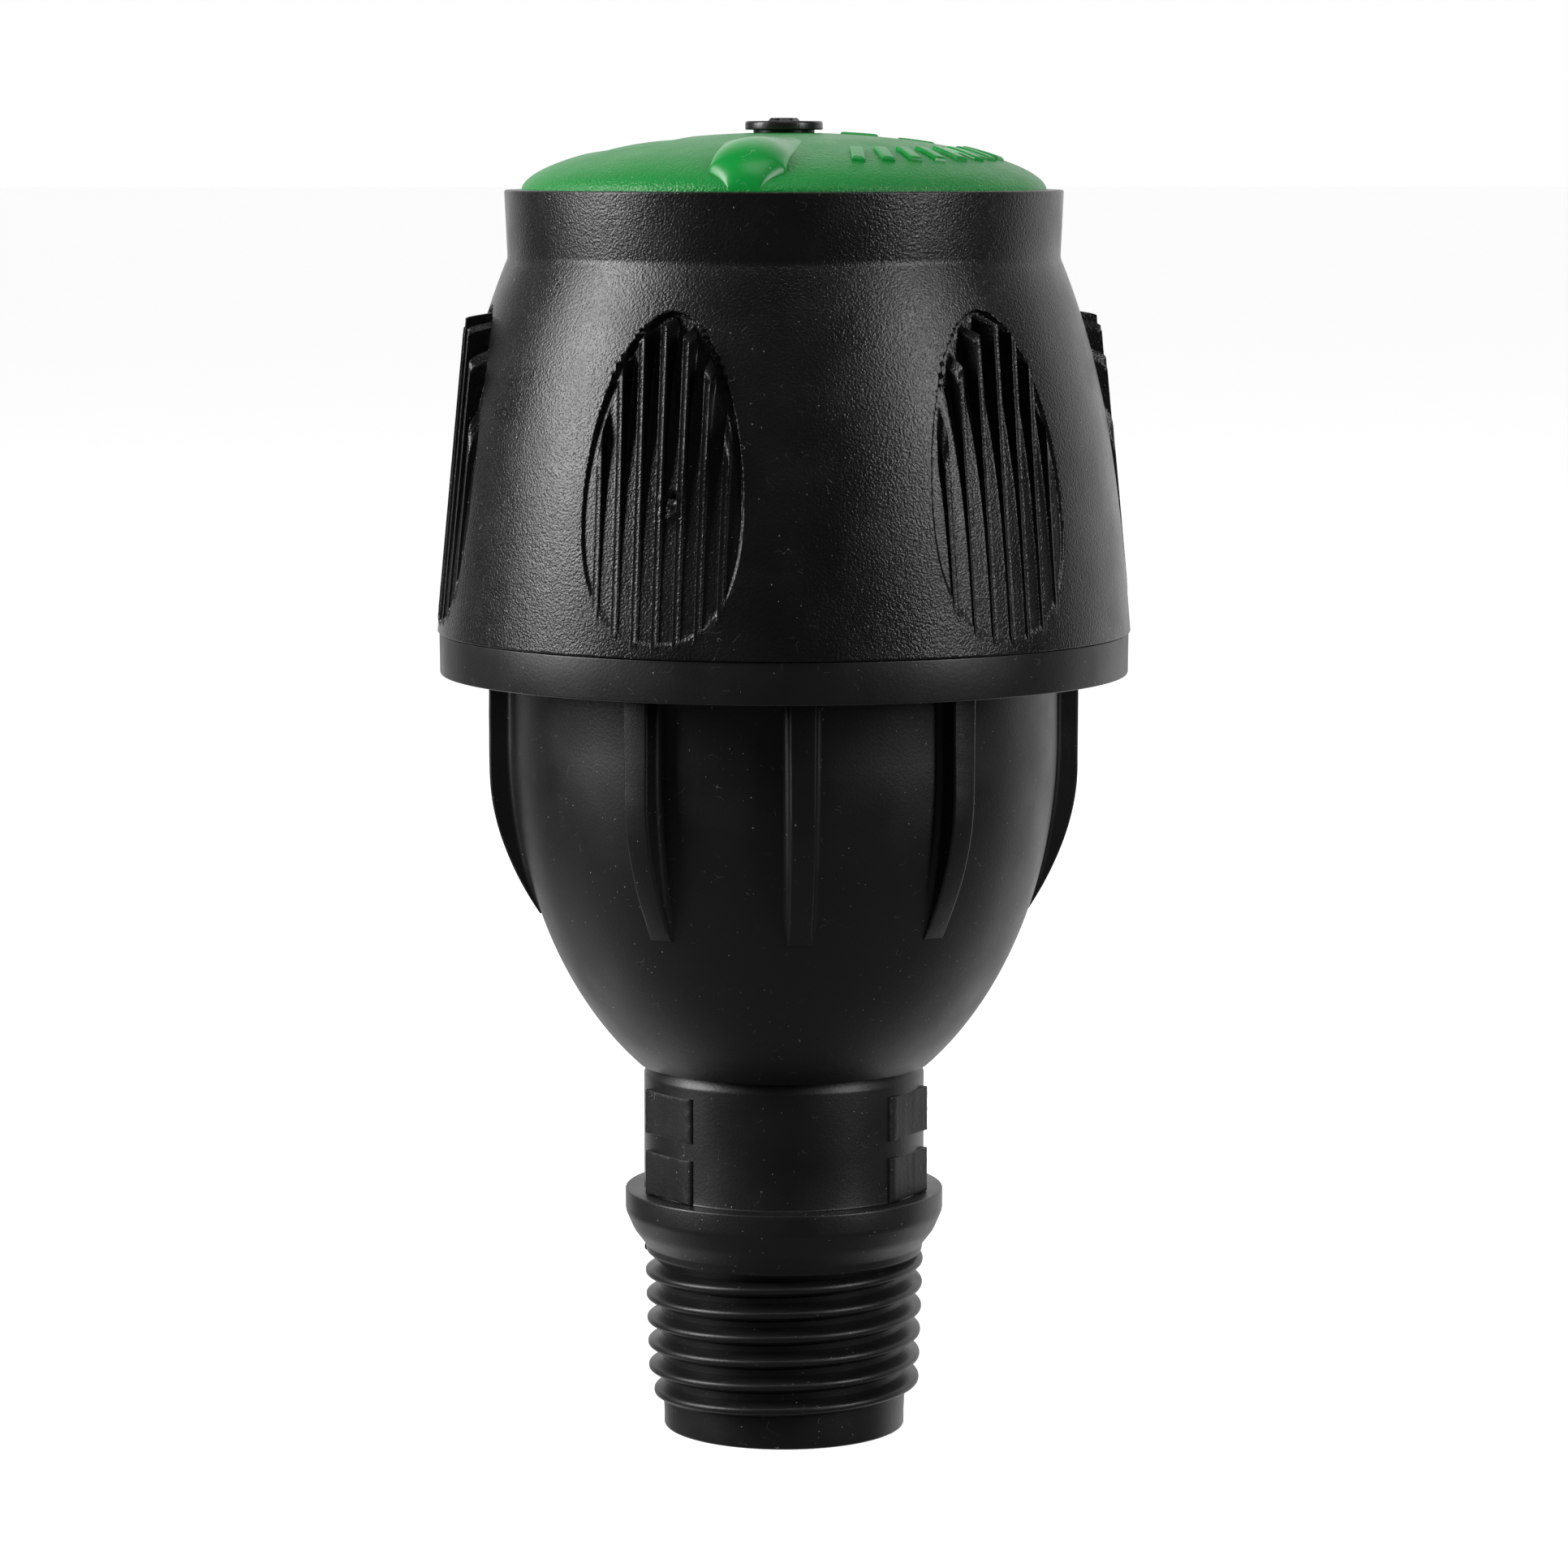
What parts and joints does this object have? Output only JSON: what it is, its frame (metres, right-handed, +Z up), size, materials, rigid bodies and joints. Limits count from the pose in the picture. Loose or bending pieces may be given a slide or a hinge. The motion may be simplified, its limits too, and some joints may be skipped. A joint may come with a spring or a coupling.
{
  "type": "pop-up rotary sprinkler head",
  "caption": "Ball-driven pop-up micro sprinkler head: ribbed black body with a half-inch male thread, bell-shaped twist-off cover and a green rotating nozzle cap.",
  "frame": {"origin": "centre of the inlet spigot's end face, the lowest point of the part", "axes": "+Z up along the common axis of thread, body and rotor; -Y is the front, where the single rib and the nozzle hood face"},
  "size_m": [0.0514, 0.0514, 0.0977],
  "materials": {
    "body_plastic": "black moulded plastic, satin, sharp mould edges",
    "cover_plastic": "black moulded plastic with a fine spark-eroded grain",
    "green_plastic": "leaf-green moulded plastic, satin",
    "pin_plastic": "black plastic, semi-gloss",
    "natural_plastic": "natural off-white acetal, satin",
    "jet_plastic": "yellow acetal, smooth",
    "elastomer": "black rubber, dull",
    "stainless": "stainless steel, drawn or pressed",
    "ball_steel": "polished stainless steel ball"
  },
  "bodies": {
    "body": {"lower_body": "body_plastic", "cover_seal": "elastomer", "regulator_cage": "natural_plastic", "regulator_diaphragm": "elastomer", "regulator_seat": "natural_plastic", "swirl_plate": "natural_plastic", "ball_race": "natural_plastic"},
    "cover": {"top_cover": "cover_plastic", "bearing_sleeve": "natural_plastic", "wiper_seal": "elastomer", "spring_washer": "stainless"},
    "carriage": {"thrust_washer": "natural_plastic", "spring_seat": "natural_plastic", "return_spring": "stainless"},
    "head": {"rotor_shaft": "natural_plastic", "drive_rotor": "natural_plastic", "shaft_clip": "stainless", "nozzle_carrier": "natural_plastic", "nozzle_insert": "jet_plastic", "head_cap": "green_plastic", "cap_pin": "pin_plastic"},
    "balls": {"drive_ball_1": "ball_steel", "drive_ball_2": "ball_steel"}
  },
  "joints": [
    {"name": "cover_twist", "type": "hinge", "parent": "body", "child": "cover", "pos_m": [0, 0, 0.0629], "axis": [0, 0, 1], "range_deg": [0, 45]},
    {"name": "pop_up", "type": "slide", "parent": "body", "child": "carriage", "axis": [0, 0, 1], "range_m": [0, 0.0065], "stiffness_N_per_m": 250, "springref_m": -0.008, "deforming": ["return_spring"]},
    {"name": "head_spin", "type": "hinge", "parent": "carriage", "child": "head", "pos_m": [0, 0, 0.0604], "axis": [0, 0, 1], "continuous": true},
    {"name": "ball_orbit", "type": "hinge", "parent": "body", "child": "balls", "pos_m": [0, 0, 0.0518], "axis": [0, 0, 1], "continuous": true}
  ]
}
